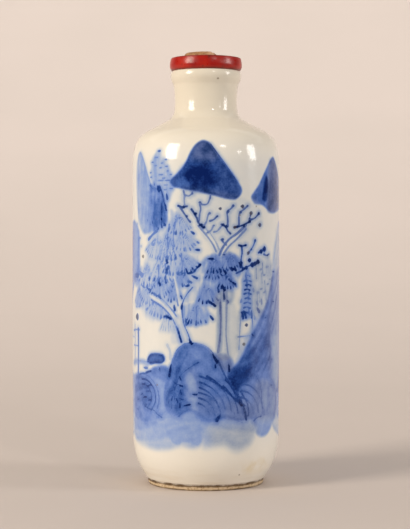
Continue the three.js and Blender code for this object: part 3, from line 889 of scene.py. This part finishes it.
def back_tree(p):
    """One pine on a rock, with a far one beside it."""
    sprays = ((330, 466, -90, 40, 40, 24, 70), (304, 426, -98, 40, 42, 22, 60),
        (346, 428, -84, 42, 38, 26, 80), (374, 396, -76, 38, 38, 28, 80), (290, 378, -100, 38, 42, 22, 60),
        (326, 384, -92, 40, 34, 26, 70))
    for seed, spray in enumerate(sprays):
        needles(p, *spray, 60 + seed)
    p.spare([330, 234, 334, 280, 330, 330, 322, 376, 332, 376, 340, 330, 344, 280, 346, 234])
    p.stroke([329, 234, 333, 280, 329, 330, 322, 374], 3, 66)
    p.stroke([348, 232, 344, 280, 340, 330, 333, 374], 2.6, 60)
    twig(p, [-334, 404, -330, 426, -338, 448, -332, 466], 56, ((-332, 466, 5),))
    twig(p, [-330, 426, -316, 438, -306, 456], 56, ((-316, 438, 5), (-306, 456, 5)))
    twig(p, [-338, 448, -352, 456, -360, 470], 50, ((-360, 470, 5),))
    p.stroke([-330, 246, -334, 300, -330, 356, -334, 404], 3.4, 60)
    for seed, tip in enumerate(((-346, 400), (-318, 404), (-332, 370))):
        needles(p, *tip, -90, 32, 36, 24, 70, 80 + seed)


def back_rocks(p):
    near = [264, 180, 280, 206, 304, 230, 332, 244, 358, 234, 382, 208, 404, 174, 426, 142, 400, 122,
        360, 134, 320, 122, 286, 134, 256, 146]
    p.fill(near, 50, 2.2, 6, hair=(-55, 5, 14))
    ripples(p, 336, 126, (32, 44, 56, 68, 80), 78, 12, 78, 1.0, 3)
    ripples(p, 314, 130, (30, 42), 170, 100, 74, 1.2, 2.8)
    far = [-406, 170, -380, 204, -354, 234, -328, 248, -300, 234, -270, 204, -244, 180, -236, 146,
        -264, 126, -306, 134, -350, 122, -394, 134]
    p.fill(far, 46, 2.4, 5, hair=(40, 5, 14))
    ripples(p, -326, 130, (34, 48, 62, 76, 90), 104, 168, 74, 1.0, 3)
    low_left = [-248, 176, -218, 200, -186, 202, -166, 186, -164, 146, -190, 124, -230, 126]
    p.fill(low_left, 40, 3.5, hair=(14, 5, 14))
    low_right = [158, 182, 186, 200, 224, 206, 260, 188, 270, 150, 236, 124, 186, 120, 160, 136]
    p.fill(low_right, 42, 3.5, hair=(14, 5, 14))
    ripples(p, 206, 130, (30, 42, 54), 130, 40, 66, 1.0, 2.8)


def back_water(p):
    for left, right, low, ink in ((150, 280, 86, 26), (260, 380, 76, 30), (370, 470, 84, 24),
            (-370, -260, 78, 28), (-270, -160, 82, 24)):
        middle = (left + right) / 2
        p.tint([left, 128, middle, 140, right, 128, right + 4, 106, middle + 26, low + 4, middle - 26, low,
            left - 4, 106], ink, 4.5, 4, hair=(6, 7, 25))
    for across, up, length in ((-200, 280, 24), (-186, 264, 30), (386, 304, 26), (404, 288, 32),
            (-386, 310, 26), (270, 270, 26), (284, 254, 20)):
        p.stroke([across - length / 2, up, across, up + 1.2, across + length / 2, up], 2.6, 36)


def iron_spots(p):
    for spot in ((24, 491, 4, 55), (65, 495, 5, 70), (83, 483.5, 5, 60), (77, 415, 4, 50), (50, 459, 4, 60),
            (73, 290, 4.5, 50), (68, 257, 4.5, 28), (-131, 408, 5, 16), (-155, 301, 9.5, 50),
            (103, 463, 5, 60)):
        p.speck(*spot)


def paint(p):
    """The whole painting, from what lies farthest to what lies nearest."""
    p.fill([-460, 90, -300, 100, 0, 80, 300, 100, 460, 90, 460, 570, 220, 580, 0, 580, -220, 580, -460, 570],
        7, 30)
    for motif in (back_peaks, left_cliff, back_tree, back_water, back_rocks, distant_pines, left_mountain,
            main_peak, right_peak, faded_trees, boat_and_bank, pine_foliage, trunks, forked_branches, cliff,
            pagoda, left_rock, right_rock, middle_rock, shallows):
        motif(p)
    p.bleed()
    iron_spots(p)


# ---- turned shapes -----------------------------------------------------------------------------

SAME_POINT = 1e-4  # points closer than this are one
MAP_MARGIN = 0.005  # left free round a piece's map


def bezier(*corners, steps):
    """Points along a quadratic or cubic curve, both ends included."""
    t = np.linspace(0, 1, steps + 1)[:, None]
    rows = [np.array(corner, float) for corner in corners]
    while len(rows) > 1:
        rows = [(1 - t) * a + t * b for a, b in zip(rows, rows[1:])]
    return rows[0]


def joined(*stretches):
    """One outline from several, without the points that repeat where they meet."""
    p = np.concatenate([np.atleast_2d(np.array(s, float)) for s in stretches])
    keep = np.ones(len(p), bool)
    keep[1:] = np.hypot(*np.diff(p, axis=0).T) > SAME_POINT
    return p[keep]


def stitch(first, second, turns_a, turns_b):
    """Triangles between two rings that have different numbers of points."""
    count_a, count_b = len(turns_a), len(turns_b)
    a, b = np.append(turns_a, 1 + turns_a[0]), np.append(turns_b, 1 + turns_b[0])
    i = j = 0
    faces = []
    while i < count_a or j < count_b:
        here = (first + i % count_a, second + j % count_b)
        if j == count_b or (i < count_a and a[i + 1] <= b[j + 1]):
            i += 1
            faces.append((here[0], first + i % count_a, here[1]))
        else:
            j += 1
            faces.append((here[0], second + j % count_b, here[1]))
    return faces


def lay_map(mesh, spin, run):
    """The surface laid flat, from how far round and along it each point lies, 0 to 1. A face that
    crosses the seam stays whole."""
    corners = np.zeros(len(mesh.loops), int)
    mesh.loops.foreach_get("vertex_index", corners)
    across, up = spin[corners], run[corners]
    for polygon in mesh.polygons:
        own = slice(polygon.loop_start, polygon.loop_start + polygon.loop_total)
        part = across[own]
        if part.max() - part.min() > 0.5:
            across[own] = np.where(part < 0.5, part + 1, part)
    places = MAP_MARGIN + (1 - 2 * MAP_MARGIN) * np.stack([across, up], 1)
    mesh.uv_layers.new(name="OFBake").data.foreach_set("uv", places.ravel())


def turned(name, rings, fields=None):
    """A solid of rings, each (radius, height, turns, share). turns says where round the ring its
    points lie, 0 to 1 from the back, and share how much of the surface's map it gets. The outline
    goes round with the solid on its left. A ring of radius 0 closes it, else the last ring joins the
    first. fields are values at every point."""
    points, spin, run, faces, starts = [], [], [], [], []
    length = 0.0
    for k, (radius, height, turns, share) in enumerate(rings):
        if k:
            length += share * math.hypot(radius - rings[k - 1][0], height - rings[k - 1][1])
        turns = turns if radius > 0 else np.array([0.5])
        angle = 2 * math.pi * turns - math.pi
        starts.append(len(spin))
        points += list(zip(radius * np.sin(angle), -radius * np.cos(angle), np.full(len(turns), height)))
        spin += list(turns)
        run += [length] * len(turns)
    sizes = np.diff(starts + [len(spin)])
    pairs = list(zip(range(len(rings) - 1), range(1, len(rings))))
    if sizes[0] > 1:
        pairs.append((len(rings) - 1, 0))
    for one, two in pairs:
        a, b, count_a, count_b = starts[one], starts[two], sizes[one], sizes[two]
        if count_a == 1:
            faces += [(a, b + (i + 1) % count_b, b + i) for i in range(count_b)]
        elif count_b == 1:
            faces += [(a + i, a + (i + 1) % count_a, b) for i in range(count_a)]
        elif count_a == count_b:
            faces += [(a + i, a + (i + 1) % count_a, b + (i + 1) % count_a, b + i) for i in range(count_a)]
        else:
            faces += stitch(a, b, np.array(spin[a : a + count_a]), np.array(spin[b : b + count_b]))
    mesh = bpy.data.meshes.new(name)
    mesh.from_pydata((np.array(points) * MM).tolist(), [], faces)
    lay_map(mesh, np.array(spin), np.array(run) / length)
    for field, values in (fields or {}).items():
        mesh.attributes.new(field, "FLOAT", "POINT").data.foreach_set("value", values.astype(np.float32))
    mesh.shade_smooth()
    made = bpy.data.objects.new(name, mesh)
    bpy.context.scene.collection.objects.link(made)
    return made


def wears(piece, node, material):
    """The piece takes a CAD node's place, hiding it, joins the root body and takes its finish from a slot.
    """
    piece.data.materials.clear()
    piece.data.materials.append(material)
    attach(piece, "root")
    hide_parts(node)


# ---- bottle ------------------------------------------------------------------------------------

PLAIN_TURNS = np.arange(96) / 96
PAINT_LOW, PAINT_HIGH = 4.6, 62.6  # the painted band, with white to spare
FINE, COARSE = 0.19, 0.45  # spacing of the painting's columns, in front and behind
FINE_TO, COARSE_FROM = 15, 24  # how far round from the front each spacing reaches
ROW, FOOT_ROW = 0.2, 0.3  # spacing of its rows, on the side and towards the foot
FOOT_ROWS_TO = 8
APART = 0.1  # kept between a painted row and the next plain ring
GLAZE_EDGE_Z = 1.27
LIP_TOP_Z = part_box("bottle")[1].z / MM
BORE_RADIUS = 3.2
INNER_RADIUS = 10.92
FLOOR_TOP = 4.2
DIRT_Z = 0.85  # the dirt that has gathered where the glaze thins out
SHADED_CREAM_BAND = (58.0, 64.0)  # where the glaze turns creamier and darker towards the neck: partly the glaze's own tone, partly painted shade and warm reflection on the upturned shoulder
LIP_SPECK = (2.1, -5.7, 72.1)
STAIN = (8.4, -8.6, 4.2)  # a tea-coloured smear low on the right

# The third colour is partly cream glaze and partly painted shade and warm reflection on the shoulder.
WHITE, WARM_WHITE, SHADED_CREAM = (0.80, 0.735, 0.63), (0.76, 0.71, 0.63), (0.73, 0.645, 0.52)
RUST, FLECK, TEA = (0.075, 0.055, 0.03), (0.14, 0.09, 0.04), (0.66, 0.53, 0.30)
# The second colour here serves both the dirt at the glaze's edge and the painted contact shadow under the
# foot.
FILM, DIRT_AND_SHADOW = (0.58, 0.45, 0.27), (0.13, 0.075, 0.032)
CLAY = ((0.32, (0.32, 0.20, 0.10)), (0.44, (0.60, 0.45, 0.28)), (0.7, (0.70, 0.56, 0.38)))
COBALT = (
    (0.0, (1.0, 1.0, 1.0)),
    (0.12, (0.78, 0.85, 0.98)),
    (0.25, (0.52, 0.65, 0.95)),
    (0.4, (0.30, 0.455, 0.94)),
    (0.55, (0.165, 0.30, 0.84)),
    (0.7, (0.072, 0.175, 0.63)),
    (0.85, (0.020, 0.073, 0.38)),
    (1.0, (0.004, 0.020, 0.17)),
)
ASHEN_COBALT = (
    (0.0, (1.0, 1.0, 1.0)),
    (0.12, (0.78, 0.84, 0.91)),
    (0.25, (0.56, 0.64, 0.77)),
    (0.4, (0.37, 0.45, 0.60)),
    (0.55, (0.24, 0.28, 0.44)),
    (0.7, (0.12, 0.14, 0.29)),
    (0.85, (0.04, 0.07, 0.17)),
    (1.0, (0.010, 0.022, 0.08)),
)


def underside():
    recess = bezier((7.2, 1.35), (8.3, 1.35), (8.6, 0.6), steps=6)
    inner_edge = bezier((8.6, 0.25), (8.6, 0), (8.85, 0), steps=4)
    outer_edge = bezier((10.05, 0), (10.3, 0), (10.33, 0.25), steps=4)
    glaze_roll = bezier((10.56, 1.15), (10.7, 1.15), (10.76, GLAZE_EDGE_Z), steps=3)
    return joined([(0, 1.5), (3.6, 1.43)], recess, inner_edge, outer_edge, glaze_roll)


def outside():
    lower_body = bezier((10.76, GLAZE_EDGE_Z), (11.5, 2.6), (13.1, 4.1), (13.12, 9.5), steps=40)
    side = bezier((13.12, 9.5), (13.253, 26.5), (13.253, 40.6), (13.12, 57.6), steps=120)
    shoulder = bezier((13.12, 57.6), (12.95, 61.3), (12.1, 62.35), (9.9, 63.42), steps=40)
    root = bezier((6.75, 65.12), (5.72, 65.75), (5.63, 67.1), steps=12)
    waist = bezier((5.56, 68.0), (5.56, 70.2), (5.83, 71.4), steps=10)
    lip = bezier((5.83, 71.4), (6.1, 72.1), (6.6, 72.75), (6.15, LIP_TOP_Z), steps=14)
    slope = np.linspace((9.9, 63.42), (6.75, 65.12), 9)
    return joined(lower_body, side, shoulder, slope, root, waist, lip)


def inside():
    bore, top, rounding = BORE_RADIUS, LIP_TOP_Z, 0.3
    mouth = bezier((bore + rounding, top), (bore, top), (bore, top - rounding), steps=4)
    throat = bezier((bore, 64.2), (bore, 63.0), (4.4, 62.7), steps=5)
    shoulder = bezier((8.3, 61.55), (10.1, 60.7), (INNER_RADIUS, 59.6), (INNER_RADIUS, 56.6), steps=8)
    floor = bezier((INNER_RADIUS, 6.4), (INNER_RADIUS, FLOOR_TOP), (8.72, FLOOR_TOP), steps=5)
    return joined(mouth, [(bore, 69.0)], throat, shoulder, floor, [(0, FLOOR_TOP)])


def painting_columns():
    """Where the painting's columns lie, in mm either side of the front: close together in front."""
    side = [0.0]
    while side[-1] < TURN / 2:
        side.append(side[-1] + float(np.interp(side[-1], (FINE_TO, COARSE_FROM), (FINE, COARSE))))
    side = np.array(side) * (TURN / 2 / side[-1])
    return np.concatenate([-side[::-1], side[1:]])


def make_bottle():
    across = painting_columns()
    foot_rows = np.arange(PAINT_LOW, FOOT_ROWS_TO, FOOT_ROW)
    up = np.concatenate([foot_rows, np.arange(FOOT_ROWS_TO, PAINT_HIGH, ROW)])
    painting = Painting(across, up)
    paint(painting)
    wall = outside()
    painted_radii = np.interp(up, wall[:, 1], wall[:, 0])
    painted_turns = across[:-1] / TURN + 0.5
    low = [(r, z, PLAIN_TURNS, 0.2) for r, z in underside()]
    low += [(r, z, PLAIN_TURNS, 1.0) for r, z in wall[1::2] if z < PAINT_LOW - APART]
    painted = [(r, z, painted_turns, 1.0) for r, z in zip(painted_radii, up)]
    high = [(r, z, PLAIN_TURNS, 1.0) for r, z in wall if z > up[-1] + APART]
    high += [(r, z, PLAIN_TURNS, 0.1) for r, z in inside()]
    # The first ring and the last are one point each, and none of the plain surface is painted.
    before = 1 + (len(low) - 1) * len(PLAIN_TURNS)
    after = (len(high) - 1) * len(PLAIN_TURNS) + 1
    fields = {
        name: np.concatenate([np.zeros(before), getattr(painting, name)[:, :-1].ravel(), np.zeros(after)])
        for name in ("wash", "line", "line_ink", "rust", "ash")
    }
    bottle = turned("porcelain_bottle", low + painted + high, fields)
    wears(bottle, "bottle", glazed_porcelain())


def cobalt(s):
    """How dark the blue is at a place, 0 to 1: washes and strokes, as the pigment dried and fired."""
    grains = s.noise(3.2, detail=3)
    clouds = s.noise(0.7, detail=2)
    uneven = s.math("MULTIPLY", s.sway(grains, 1.0, 0.13), s.sway(clouds, 1.0, 0.22))
    wash = s.math("MULTIPLY", s.attribute("wash"), uneven, clamp=True)
    edge = s.math("ADD", s.attribute("line"), s.sway(s.noise(2.4, detail=2), 0.0, 0.06))
    stroke = s.between(edge, 0.31, 0.69)
    ink = s.math("MULTIPLY", s.attribute("line_ink"), s.sway(grains, 1.0, 0.2))
    return s.math("SMOOTH_MAX", wash, s.math("MULTIPLY", stroke, ink), 0.08, clamp=True)


def stains(s, colour, flecks):
    """Dark flecks in the glaze, a smear of tea and a brownish film that thickens to the foot."""
    colour = s.mix(s.scaled(flecks, 0.6), colour, FLECK)
    smear = s.math("MULTIPLY", s.patch(STAIN, (6.0, 6.0, 2.0), 0.9), s.between(s.noise(0.3), 0.35, 0.65))
    colour = s.mix(s.scaled(smear, 0.7), colour, TEA)
    streaks = s.noise(0.5, vector=s.stretched(0.35, 0.35, 2.2))
    film = s.math("MULTIPLY", s.between(streaks, 0.4, 0.8), s.between(s.height(), 5.0, 1.4))
    return s.mix(s.scaled(film, 0.3), colour, FILM)


def foot_dirt_and_shadow(s, from_edge):
    """Dirt along the edge of the glaze, and painted contact shadow in the line where the foot meets the
    table.
    """
    blotches = s.between(s.noise(0.45, detail=4, roughness=0.6), 0.3, 0.62)
    thick = s.math("MULTIPLY_ADD", blotches, 0.2, 0.16)
    seam = s.between(s.math("DIVIDE", s.math("ABSOLUTE", from_edge), thick), 1.0, 0.35)
    seam = s.math("MULTIPLY", seam, s.sway(blotches, 0.78, 0.2))
    # Painted shadow: darker at the bottom of the foot, where it meets the table.
    contact_shadow = s.math("MULTIPLY", s.between(s.height(), 0.4, 0.14), s.sway(blotches, 0.7, 0.3))
    return s.math("MAXIMUM", seam, s.scaled(contact_shadow, 0.9))


def glazed_porcelain():
    """Cobalt under a clear glaze, over white porcelain that is bare on the foot ring."""
    s = Shader("glazed_porcelain")
    body = s.mix(s.noise(0.11, detail=2), WHITE, WARM_WHITE)
    # Partly the glaze's own cream, partly painted shade and warm reflection: the shoulder is made darker and
    # warmer by height.
    body = s.mix(s.between(s.height(), *SHADED_CREAM_BAND), body, SHADED_CREAM)
    ink = cobalt(s)
    blue = s.mix(s.attribute("ash"), s.ramp(ink, COBALT), s.ramp(ink, ASHEN_COBALT))
    colour = s.mix(1.0, body, blue, "MULTIPLY")
    iron = s.math("MULTIPLY", s.attribute("rust"), s.between(s.attribute("line"), 0.4, 0.6))
    colour = s.mix(s.scaled(iron, 0.7), colour, RUST)
    flecks = s.math("MAXIMUM", s.spots(0.35, 0.08, 0.07), s.patch(LIP_SPECK, (0.28, 0.4, 0.22)))
    colour = stains(s, colour, flecks)
    wobble = s.noise(0.4, detail=4, vector=s.stretched(1, 1, 0.2))
    from_edge = s.math("SUBTRACT", s.height(), s.sway(wobble, DIRT_Z, 0.22))
    bare = s.between(from_edge, 0.04, -0.04)
    colour = s.mix(bare, colour, s.ramp(s.noise(2.2, detail=5), CLAY))
    # Dirt along the glaze's edge, and painted contact shadow at the bottom of the foot.
    colour = s.mix(foot_dirt_and_shadow(s, from_edge), colour, DIRT_AND_SHADOW)
    gloss = s.sway(s.noise(1.6), 0.13, 0.03)
    rough = s.math("MAXIMUM", gloss, s.scaled(bare, 0.75))
    waves = s.relief(s.noise(0.16, detail=2), 0.05)
    skin = s.relief(s.noise(1.3), 0.012, waves)
    pits = s.relief(s.math("SUBTRACT", 1.0, flecks), 0.03, skin)
    s.finish(colour, rough, pits, IOR=1.42)
    return s.material


# ---- ring stopper ------------------------------------------------------------------------------

RING_HOLE_RADIUS = 2.75
RING_TURNS = np.arange(144) / 144
RING_LOW, RING_HIGH = (corner.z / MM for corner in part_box("stopper_ring"))
RING_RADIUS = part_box("stopper_ring")[1].x / MM
RING_WIDEST = 0.45  # the share of its height at which it is widest
WORN_CORNER = 0.76  # how far the lower corner has worn back
TOP_ROUND = 0.46  # how far in the rounding of the top starts

STONE = ((0.3, (0.27, 0.006, 0.003)), (0.5, (0.38, 0.010, 0.004)), (0.72, (0.46, 0.022, 0.007)))
# The second colour is painted shade, laid along the ring's lower and upper edges.
STONE_VEIN, EDGE_SHADE = (0.14, 0.014, 0.006), (0.085, 0.022, 0.010)


def make_ring():
    low, high, hole, rim = RING_LOW, RING_HIGH, RING_HOLE_RADIUS, RING_RADIUS
    middle = low + RING_WIDEST * (high - low)
    outline = joined(
        np.linspace((hole, low), (rim - WORN_CORNER, low), 8),
        bezier((rim - WORN_CORNER, low), (rim - 0.26, low), (rim, low + WORN_CORNER), steps=9),
        bezier((rim, middle), (rim, high - 0.8), (rim - 0.16, high - 0.22), steps=7),
        bezier((rim - 0.16, high - 0.22), (rim - 0.19, high), (rim - TOP_ROUND, high), steps=6),
        np.linspace((rim - TOP_ROUND, high), (hole, high), 9),
        np.linspace((hole, high), (hole, low), 8)[1:-1],
    )
    ring = turned("red_ring", [(r, z, RING_TURNS, 1.0) for r, z in outline])
    wears(ring, "stopper_ring", red_stone())


def red_stone():
    """A polished deep red, with darker veins, and painted shade darkening its lower and upper edges."""
    s = Shader("red_stone")
    veins = s.noise(1.1, detail=4, roughness=0.6)
    colour = s.ramp(s.noise(0.35), STONE)
    colour = s.mix(s.between(veins, 0.6, 0.75), colour, STONE_VEIN)
    # Painted shade: the ring's lower and upper edges are darkened, patchily.
    lower = s.between(s.height(), RING_LOW + 0.5, RING_LOW + 0.1)
    upper = s.between(s.height(), RING_HIGH - 0.22, RING_HIGH - 0.08)
    edge_shade = s.math("MULTIPLY", s.math("MAXIMUM", lower, upper), s.sway(s.noise(0.8), 0.55, 0.4), clamp=True)
    colour = s.mix(edge_shade, colour, EDGE_SHADE)
    rough = s.sway(s.noise(2.2, detail=4), 0.3, 0.08)
    skin = s.relief(s.noise(0.5, detail=2), 0.05)
    scratches = s.relief(s.noise(3.0), 0.012, skin)
    s.finish(colour, rough, scratches, IOR=1.45)
    return s.material


# ---- cork --------------------------------------------------------------------------------------

CORK_GRAIN = 0.1  # fineness of the cork's surface
DARK_CORK = ((0.3, (0.20, 0.085, 0.030)), (0.55, (0.38, 0.19, 0.080)), (0.75, (0.48, 0.28, 0.13)))
PALE_CORK = ((0.3, (0.30, 0.16, 0.085)), (0.55, (0.56, 0.33, 0.20)), (0.75, (0.68, 0.46, 0.31)))
CORK_PORE = (0.08, 0.035, 0.018)


def each(vertices, what):
    """A place or a direction for every vertex."""
    values = np.zeros(len(vertices) * 3)
    vertices.foreach_get(what, values)
    return values.reshape(-1, 3)


def make_cork():
    """The cork keeps its solid's form, with pores and crumbled edges sunk into it."""
    mesh = NODES["stopper_cork"].data.copy()
    mesh.name = "cork_plug"
    plug = bpy.data.objects.new("cork_plug", mesh)
    bpy.context.scene.collection.objects.link(plug)
    fine = plug.modifiers.new("fine", "REMESH")
    fine.mode = "VOXEL"
    fine.voxel_size = CORK_GRAIN * MM
    bpy.context.view_layer.update()
    shaped = bpy.data.meshes.new_from_object(plug.evaluated_get(bpy.context.evaluated_depsgraph_get()))
    plug.modifiers.clear()
    plug.data = shaped
    place, normal = each(shaped.vertices, "co"), each(shaped.vertices, "normal")
    bumps = np.array([pitting(Vector(p) / MM) for p in place])
    place -= normal * bumps[:, None] * MM
    shaped.vertices.foreach_set("co", place.ravel())
    shaped.shade_smooth()
    wears(plug, "stopper_cork", worn_cork())


def pitting(place):
    """How deep the cork's surface is sunk at a place, in mm."""
    crumble = noise.noise(place * 1.1) + 0.5 * noise.noise(place * 2.7)
    pores = noise.noise(place * 4.5 + Vector((7, 3, 1)))
    return 0.03 + 0.03 * crumble + 0.09 * max(0.0, pores - 0.25)


def worn_cork():
    """Cork that is darker on the left of its head and paler where it has broken on the right."""
    s = Shader("worn_cork")
    grain = s.noise(1.4, detail=5, roughness=0.65)
    broken = s.between(s.along("X"), -1.0, 2.0)
    colour = s.mix(broken, s.ramp(grain, DARK_CORK), s.ramp(grain, PALE_CORK))
    pores = s.between(s.noise(2.8, detail=2), 0.36, 0.28)
    colour = s.mix(s.scaled(pores, 0.8), colour, CORK_PORE)
    s.finish(colour, s.sway(grain, 0.85, 0.08), s.relief(grain, 0.08))
    return s.material


# ---- the whole scene ---------------------------------------------------------------------------

make_camera()
make_lights()
make_stage()
make_bottle()
make_ring()
make_cork()
